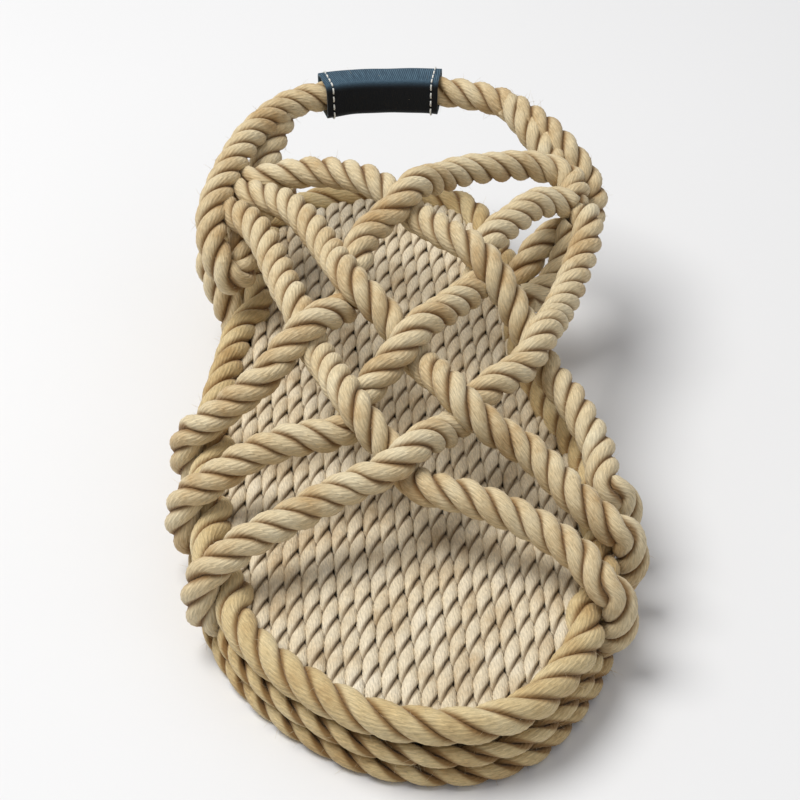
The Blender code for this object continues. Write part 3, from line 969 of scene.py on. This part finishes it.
@dataclass
class RopeBorder:
    """Three courses of rope sewn round the sole."""

    last: Last
    finishes: Finishes
    stations: list[np.ndarray]
    pinch: float = 0.0042
    step: float = 0.003
    seed: int = 70
    phases: tuple[float, float, float] = (0.0, 1.1, 2.3)
    top: LaidRope = LaidRope(0.0104, 3, 0.031, across=0.27)
    middle: LaidRope = LaidRope(0.0062, 2, 0.0205, helix=0.25, across=0.34, through=0.25)
    lower: LaidRope = LaidRope(0.0064, 2, 0.0205, helix=0.25, across=0.34, through=0.25)

    def build(self) -> list[bpy.types.Object]:
        """Lay each course as a piece of its own.

        Returns:
            The pieces, from the top course down.
        """
        shift = self.last.to_frame()
        pinches = [(spot, self.pinch) for spot in self.stations]
        courses = (
            ("border_rope", self.top, self.last.top_z, "top_rim_rope", pinches),
            ("second_course", self.middle, self.last.middle_z, "middle_rim_rope", pinches),
            ("floor_course", self.lower, self.last.lower_z, "lower_rim_rope", []),
        )
        pieces = []
        for number, (name, rope, z, node, presses) in enumerate(courses):
            loop = self.last.rim_loop(rope.diameter / 2, z, presses, self.step)
            mesh = TubeMesh()
            rope.twist_into(mesh, loop[::-1] + shift, True, seed=self.seed + number,
                            phase=self.phases[number])
            piece = mesh.make(name, self.finishes.rims)
            mount_piece(piece, "rim_rope", node)
            pieces.append(piece)
        return pieces


@dataclass
class CordMat:
    """Mat of twined cords that run from heel to toe, trimmed to the sole's outline.

    A cord shorter than shortest, counted in its own diameters, is left out. Each one strays sideways by
    drift in slow waves, which start at up to drift_start radians, and its twist starts out of step by about
    phase_spread radians.
    """

    last: Last
    finishes: Finishes
    name: str
    node: str
    slot: str
    spacing: float
    rope: LaidRope
    top: float
    inset: float
    seed: int
    outline_step: float = 0.002
    shortest: float = 3.0
    samples: int = 60
    drift: float = 0.00018
    drift_wave: float = 0.031
    drift_start: float = 6.3
    phase_spread: float = 0.30
    swell: float = 0.09

    def build(self) -> bpy.types.Object:
        """Twine every column, each out of step with its neighbour.

        Returns:
            The piece.
        """
        random = np.random.default_rng(self.seed)
        shift = self.last.to_frame()
        loop = self.last.rim_loop(self.inset, 0.0, [], self.outline_step)
        following = np.roll(loop, -1, axis=0)
        low, high = loop[:, 0].min(), loop[:, 0].max()
        count = int((high - low) / self.spacing)
        start = (low + high - (count - 1) * self.spacing) / 2
        mesh = TubeMesh()
        height = self.top - self.rope.diameter * (self.rope.helix + self.rope.through) * self.rope.flatness
        for column in range(count):
            x = start + column * self.spacing
            crossed = (loop[:, 0] - x) * (following[:, 0] - x) <= 0.0
            ends = loop[crossed, 1]
            if len(ends) < 2 or ends.max() - ends.min() < self.shortest * self.rope.diameter:
                continue
            y = np.linspace(ends.min(), ends.max(), self.samples)
            drift = self.drift * np.sin(y / self.drift_wave + random.random() * self.drift_start)
            path = np.stack([x + drift, y, np.full(len(y), height)], axis=1)
            phase = math.pi / 2 * (column % 2) + 2 * math.pi * ends.min() / self.rope.pitch
            self.rope.twist_into(mesh, path + shift, False, self.seed + column,
                                 phase + random.normal(0.0, self.phase_spread), self.swell)
        piece = mesh.make(self.name, self.finishes.footbed)
        mount_piece(piece, self.slot, self.node)
        return piece


@dataclass
class FabricSleeve:
    """Twill sleeve round the heel strap: a soft box section with a stitched line at each end.

    The cloth is drawn in by waist at its middle and ripples a little along its length. A stitch is an arch
    of thread, whose height and sink into the cloth are counted in the thread's own radius.
    """

    last: Last
    finishes: Finishes
    strap: HeelStrap
    across: float = 0.07
    length: float = 0.0400
    wall: float = 0.0008
    corner: float = 0.0022
    arc_steps: int = 5
    rings: int = 40
    lining: float = 0.995
    waist: float = 0.035
    ripple: float = 0.006
    ripple_rate: float = 19.0
    front_sharpness: float = 4.0
    thread: float = 0.00028
    thread_sides: int = 6
    stitch_length: float = 0.0021
    stitch_gap: float = 0.0009
    stitch_inset: float = 0.0022
    stitch_steps: int = 6
    stitch_arch: float = 1.4
    stitch_sink: float = 0.4
    stitch_ring: int = 3

    def section(self, half: float) -> np.ndarray:
        """Rounded square, as offsets beside and above the rope's middle.

        Args:
            half: half of the square's width.

        Returns:
            One row for each corner point.
        """
        flat = half - self.corner
        points = []
        for quarter in range(4):
            middle = math.pi / 2 * quarter + math.pi / 4
            corner_x = math.copysign(flat, math.cos(middle))
            corner_y = math.copysign(flat, math.sin(middle))
            for step in range(self.arc_steps + 1):
                angle = math.pi / 2 * (quarter + step / self.arc_steps)
                points.append((corner_x + self.corner * math.cos(angle),
                               corner_y + self.corner * math.sin(angle)))
        return np.array(points)

    def frames(self) -> tuple[np.ndarray, np.ndarray, np.ndarray, np.ndarray]:
        """Middle line of the sleeve and the directions of its section.

        Returns:
            Points, tangents, sideways and upward directions, one row for each ring.
        """
        curve = self.strap.path()
        lengths = lengths_along(curve)
        off_middle = np.abs(curve[:, 0] - self.across * self.last.half_ball)
        middle = lengths[int(np.argmin(np.where(curve[:, 2] > self.last.deck, off_middle, 1.0)))]
        spread = np.linspace(-self.length / 2, self.length / 2, self.rings) + middle
        line = sample(curve, spread) + self.last.to_frame()
        tangents = tangents_of(line, False)
        sideways = unit(np.cross(tangents, np.array((0.0, 0.0, 1.0))))
        return line, tangents, sideways, np.cross(sideways, tangents)

    def slack(self) -> np.ndarray:
        """Share of the full width that the cloth keeps at each ring."""
        share = np.linspace(0.0, 1.0, self.rings)
        return 1.0 - self.waist * np.sin(math.pi * share) + self.ripple * np.sin(share * self.ripple_rate)

    def build_cloth(self, half: float) -> bpy.types.Object:
        """Make the cloth, outside and lining in one.

        Args:
            half: half of the sleeve's width.

        Returns:
            The piece.
        """
        line, _, sideways, upwards = self.frames()
        slack = self.slack()[:, None]
        outer = self.section(half)
        inner = self.section(half - self.wall) * self.lining
        layers = []
        for profile, order in ((outer, 1), (inner, -1)):
            rings = (line[:, None] + sideways[:, None] * (profile[:, 0] * slack)[..., None]
                     + upwards[:, None] * (profile[:, 1] * slack)[..., None])
            layers.append(rings[::order, ::-1])
        around = np.concatenate(layers)
        # Mask of painted shade for the sleeve's face turned to the toe, which the twill darkens.
        sharpness = self.front_sharpness
        front_shade = np.clip(outer[::-1, 0] / half * sharpness - (sharpness - 1.0), 0.0, 1.0)
        mesh = TubeMesh()
        mesh.add(around, True, 0.5, 8 * half, np.broadcast_to(front_shade, around.shape[:2]))
        cloth = mesh.make("twill_sleeve", self.finishes.twill)
        mount_piece(cloth, "sleeve_fabric", "label_sleeve")
        return cloth

    def build_stitches(self, half: float) -> bpy.types.Object:
        """Make a line of stitches round each end.

        Args:
            half: half of the sleeve's width.

        Returns:
            The piece.
        """
        line, tangents, sideways, upwards = self.frames()
        face_height = half * self.slack()[self.stitch_ring]
        pace = self.stitch_length + self.stitch_gap
        count = int(2 * half / pace)
        corners = 2 * math.pi * np.arange(self.thread_sides) / self.thread_sides
        bend = np.linspace(-0.5, 0.5, self.stitch_steps)
        arch = self.thread * (self.stitch_arch - 4.0 * self.stitch_arch * bend ** 2)
        mesh = TubeMesh()
        for end, way in ((0, 1), (-1, -1)):
            inward = tangents[end] * way
            base = line[end] + inward * self.stitch_inset
            side, up = sideways[end], upwards[end]
            for across, above in ((side, up), (up, -side), (-side, -up), (-up, side)):
                for number in range(count):
                    centre = (number - (count - 1) / 2) * pace
                    path = (base + across * (centre + bend * self.stitch_length)[:, None]
                            + above * (face_height + arch - self.thread * self.stitch_sink)[:, None])
                    rings = (path[:, None] + above * (np.cos(corners) * self.thread)[None, :, None]
                             + inward * (np.sin(corners) * self.thread)[None, :, None])
                    if np.dot(np.cross(above, inward), across) < 0:
                        rings = rings[:, ::-1]
                    mesh.add(rings, False, 0.5, 6 * self.thread, np.zeros(rings.shape[:2]))
        seam = mesh.make("sleeve_stitches", self.finishes.thread)
        mount_piece(seam, "sleeve_fabric")
        return seam

    def build(self) -> list[bpy.types.Object]:
        """Make the cloth, then its stitches."""
        half = self.last.rope / 2 + self.last.gap + self.wall
        return [self.build_cloth(half), self.build_stitches(half)]


@dataclass
class LooseFibres:
    """Short bast fibres that stand off the ropes.

    rise and drift are the shares of a fibre's length by which it leaves the rope and strays from there,
    curl is the power with which it strays further towards its tip, and thinning is how much finer the tip is.
    """

    finishes: Finishes
    hosts: list[bpy.types.Object]
    count: int = 5000
    shortest: float = 0.0010
    longest: float = 0.0034
    thickness: float = 0.00005
    rise: float = 0.55
    drift: float = 0.8
    curl: float = 1.6
    thinning: float = 0.7
    sides: int = 3
    rings: int = 5
    seed: int = 9

    def build(self) -> bpy.types.Object:
        """Grow the fibres from points spread over the ropes.

        Returns:
            The piece.
        """
        random = np.random.default_rng(self.seed)
        mesh = TubeMesh()
        corners = 2 * math.pi * np.arange(self.sides) / self.sides
        bends = np.linspace(0.0, 1.0, self.rings)
        slim = self.thickness * (1.0 - self.thinning * bends)[:, None]
        share = self.count // len(self.hosts)
        for host in self.hosts:
            vertices = host.data.vertices
            for index in random.integers(0, len(vertices), share):
                root = np.array(vertices[int(index)].co)
                away = np.array(vertices[int(index)].normal)
                drift = unit(random.normal(size=3))
                length = random.uniform(self.shortest, self.longest)
                path = (root + away * (bends * length * self.rise)[:, None]
                        + drift * (bends ** self.curl * length * self.drift)[:, None])
                path[:, 2] = np.maximum(path[:, 2], self.thickness)
                heading = unit(path[-1] - path[0])
                beside = unit(np.cross(heading, random.normal(size=3)))
                above = np.cross(heading, beside)
                rings = (path[:, None] + beside * (np.cos(corners) * slim)[..., None]
                         + above * (np.sin(corners) * slim)[..., None])
                mesh.add(rings, False, float(random.random()), 6 * self.thickness,
                         np.zeros(rings.shape[:2]))
        piece = mesh.make("loose_fibres", self.finishes.straps)
        mount_piece(piece, "strap_rope")
        return piece


@dataclass
class Studio:
    """Pale floor, soft light from above the outer side, and the camera at the photographed angle.

    Angles are in degrees, the lens and the sensor in millimetres, everything else in metres and watts.
    """

    last: Last
    elevation: float = 36.0
    azimuth: float = 5.1
    distance: float = 0.675
    lens: float = 98.9
    sensor: float = 36.0
    nearest: float = 0.01
    aim_height: float = 0.019
    aim_along: float = 0.0085
    key_place: tuple[float, float, float] = (-0.62, 0.16, 1.32)
    key_size: float = 0.95
    key_power: float = 19.6
    key_colour: str = "#FFFDF9"
    fill_place: tuple[float, float, float] = (0.9, -0.9, 0.8)
    fill_size: float = 1.4
    fill_power: float = 1.4
    fill_colour: str = "#F8FAFF"
    light_aim: tuple[float, float, float] = (0.0, 0.0, 0.03)
    sky: float = 0.42
    sky_colour: str = "#FBFBFD"
    floor_reach: float = 4.0

    def camera(self) -> None:
        """Place the camera."""
        data = bpy.data.cameras.new("studio_camera")
        data.lens = self.lens
        data.sensor_width = self.sensor
        data.clip_start = self.nearest
        camera = bpy.data.objects.new("studio_camera", data)
        bpy.context.scene.collection.objects.link(camera)
        rise, turn = math.radians(self.elevation), math.radians(self.azimuth)
        gaze = Vector((math.sin(turn) * math.cos(rise), math.cos(turn) * math.cos(rise), -math.sin(rise)))
        aim = Vector(self.last.to_frame()) + Vector((0.0, self.aim_along, self.aim_height))
        camera.location = aim - gaze * self.distance
        camera.rotation_euler = gaze.to_track_quat("-Z", "Y").to_euler()
        bpy.context.scene.camera = camera

    def light(self, name: str, place: tuple[float, float, float], size: float, power: float,
              colour: str) -> None:
        """Add one soft area light that looks at the shoe.

        Args:
            name: name of the light.
            place: where it hangs.
            size: width of its disc.
            power: its power in watts.
            colour: its sRGB hex colour.
        """
        data = bpy.data.lights.new(name, "AREA")
        data.shape = "DISK"
        data.size = size
        data.energy = power
        data.color = linear(colour)[:3]
        lamp = bpy.data.objects.new(name, data)
        bpy.context.scene.collection.objects.link(lamp)
        lamp.location = place
        gaze = Vector(self.light_aim) - Vector(place)
        lamp.rotation_euler = gaze.to_track_quat("-Z", "Y").to_euler()

    def floor(self) -> None:
        """Lay the floor."""
        reach = self.floor_reach
        mesh = bpy.data.meshes.new("studio_floor")
        mesh.from_pydata([(-reach, -reach, 0), (reach, -reach, 0), (reach, reach, 0), (-reach, reach, 0)], [],
                         [(0, 1, 2, 3)])
        mesh.materials.append(PlainFinish("matt_paper", "#E6E7E9", "#E3E4E6", 0.95, 400.0).make())
        floor = bpy.data.objects.new("studio_floor", mesh)
        bpy.context.scene.collection.objects.link(floor)

    def build(self) -> None:
        """Set up the whole studio."""
        self.camera()
        self.floor()
        self.light("key_light", self.key_place, self.key_size, self.key_power, self.key_colour)
        self.light("fill_light", self.fill_place, self.fill_size, self.fill_power, self.fill_colour)
        world = bpy.data.worlds.new("studio_world")
        world.use_nodes = True
        background = world.node_tree.nodes["Background"]
        background.inputs["Color"].default_value = linear(self.sky_colour)
        background.inputs["Strength"].default_value = self.sky
        bpy.context.scene.world = world
        bpy.context.scene.view_settings.view_transform = "Standard"
        bpy.context.scene.view_settings.look = "None"


def main() -> None:
    """Build every sub-assembly in order."""
    logging.basicConfig(level=logging.INFO, format="%(message)s")
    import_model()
    last = Last()
    finishes = Finishes()
    studio = Studio(last)
    studio.build()
    upper = WovenUpper(last, finishes)
    heel = HeelStrap(last, finishes)
    hosts = [upper.build(), heel.build()]
    hosts += RopeBorder(last, finishes, upper.stations()).build()
    twined_cord = LaidRope(diameter=0.0058, strands=2, pitch=0.019, helix=0.22, across=0.345, through=0.25,
                           sides=10, steps_a_turn=16, flatness=0.8)
    CordMat(last, finishes, "twined_footbed", "footbed_mat", "footbed_cord", spacing=0.0047,
            rope=twined_cord, top=last.footbed_top, inset=last.rope * 0.80, seed=200).build()
    sole_rope = LaidRope(diameter=last.lower_rope, strands=2, pitch=0.0205, helix=0.25, across=0.36,
                         through=0.25, sides=8, steps_a_turn=10)
    CordMat(last, finishes, "corded_underside", "outsole_mat", "outsole_rope", spacing=last.lower_rope,
            rope=sole_rope, top=last.lower_rope, inset=last.lower_rope, seed=400).build()
    FabricSleeve(last, finishes, heel).build()
    LooseFibres(finishes, hosts).build()


if __name__ == "__main__":
    main()
